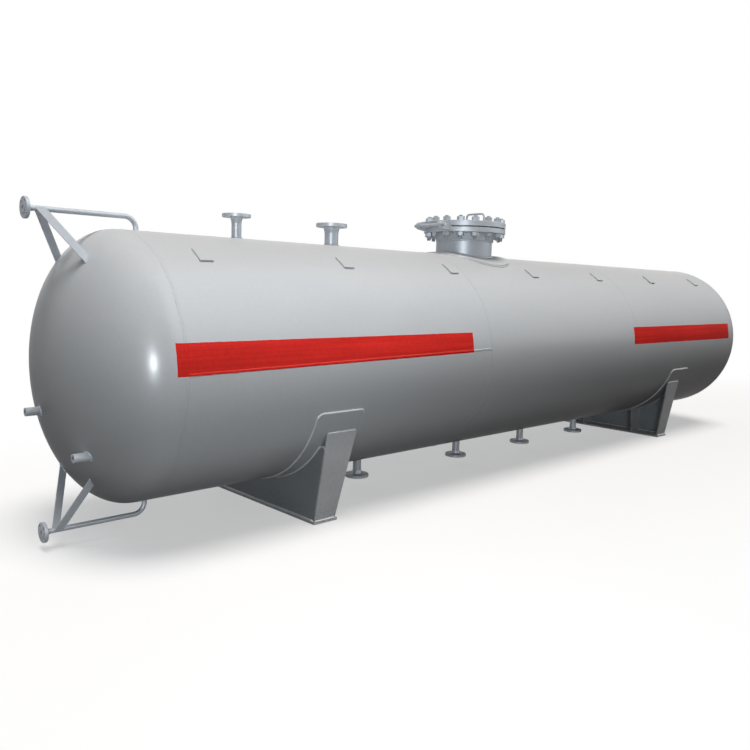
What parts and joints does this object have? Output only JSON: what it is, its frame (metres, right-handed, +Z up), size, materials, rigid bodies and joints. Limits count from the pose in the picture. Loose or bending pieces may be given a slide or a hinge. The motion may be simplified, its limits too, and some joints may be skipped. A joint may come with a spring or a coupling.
{
  "type": "horizontal liquefied gas storage tank",
  "caption": "Horizontal cylindrical pressure tank with dished ends on two steel saddles, with flanged nozzles, braced level-gauge pipes and a bolted manway on top.",
  "frame": {"origin": "middle of the tank's overall length and width, on the ground under the saddles", "axes": "+X along the tank from the gauge end to the plain end, +Y to the back, +Z up"},
  "size_m": [7.102, 1.4239, 1.951],
  "materials": {
    "shell_paint": "satin silver-grey paint with two red stripes",
    "fitting_paint": "satin silver-grey paint",
    "saddle_paint": "satin silver-grey paint",
    "hinge_steel": "satin silver-grey paint, worn",
    "gasket": "matt dark graphite and steel winding"
  },
  "bodies": {
    "root": {"back_head_stub": "fitting_paint", "back_support_pads": "fitting_paint", "bottom_nozzle_1_flange": "fitting_paint", "bottom_nozzle_1_pipe": "fitting_paint", "bottom_nozzle_2_flange": "fitting_paint", "bottom_nozzle_2_pipe": "fitting_paint", "bottom_nozzle_3_flange": "fitting_paint", "bottom_nozzle_3_pipe": "fitting_paint", "bottom_nozzle_4_flange": "fitting_paint", "bottom_nozzle_4_pipe": "fitting_paint", "front_head_stub": "fitting_paint", "front_support_pads": "fitting_paint", "left_head": "shell_paint", "left_saddle_base": "saddle_paint", "left_saddle_ribs": "saddle_paint", "left_saddle_web": "saddle_paint", "left_wear_plate": "shell_paint", "lower_gauge_braces": "fitting_paint", "lower_gauge_flange": "fitting_paint", "lower_gauge_pipe": "fitting_paint", "manway_cover": "fitting_paint", "manway_cover_ears": "fitting_paint", "manway_flange": "fitting_paint", "manway_flange_ears": "fitting_paint", "manway_gasket": "gasket", "manway_handle": "fitting_paint", "manway_hinge_pin": "hinge_steel", "manway_neck": "fitting_paint", "manway_reinforcing_pad": "fitting_paint", "relief_nozzle_flange": "fitting_paint", "relief_nozzle_pipe": "fitting_paint", "right_head": "shell_paint", "right_saddle_base": "saddle_paint", "right_saddle_ribs": "saddle_paint", "right_saddle_web": "saddle_paint", "right_wear_plate": "shell_paint", "shell_course_1": "shell_paint", "shell_course_2": "shell_paint", "shell_course_3": "shell_paint", "upper_gauge_braces": "fitting_paint", "upper_gauge_flange": "fitting_paint", "upper_gauge_pipe": "fitting_paint", "vapour_nozzle_flange": "fitting_paint", "vapour_nozzle_pipe": "fitting_paint"}
  },
  "joints": []
}
